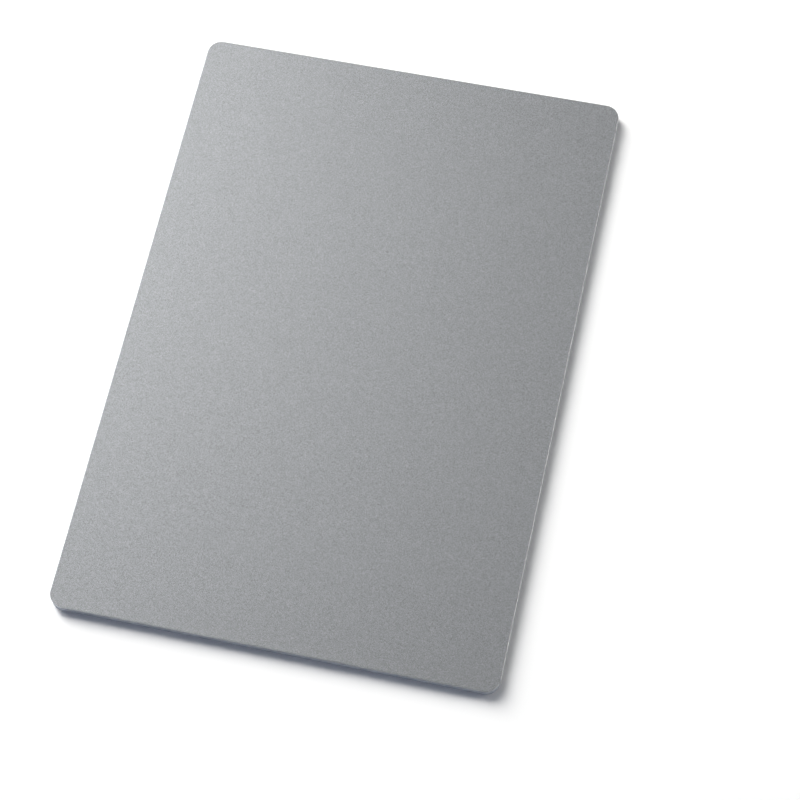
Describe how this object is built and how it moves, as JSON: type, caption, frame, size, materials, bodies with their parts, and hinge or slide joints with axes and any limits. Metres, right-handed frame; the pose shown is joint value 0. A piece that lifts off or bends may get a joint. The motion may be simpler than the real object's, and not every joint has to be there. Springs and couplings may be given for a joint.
{
  "type": "aluminium composite panel",
  "caption": "Flat rectangular board with rounded corners: thin coated aluminium skins bonded to a polyethylene core, for signs, cladding and linings.",
  "frame": {"origin": "middle of the back face, which the panel lies on", "axes": "+X across the width, +Y along the length, +Z through the thickness and out of the coated front face"},
  "size_m": [0.12, 0.175, 0.003],
  "materials": {
    "front_skin": "satin metallic silver coil coating over aluminium sheet",
    "core": "light grey polyethylene, as cut",
    "back_skin": "pale service coat over aluminium sheet"
  },
  "bodies": {
    "root": {"front_skin": "front_skin", "core": "core", "back_skin": "back_skin"}
  },
  "joints": []
}
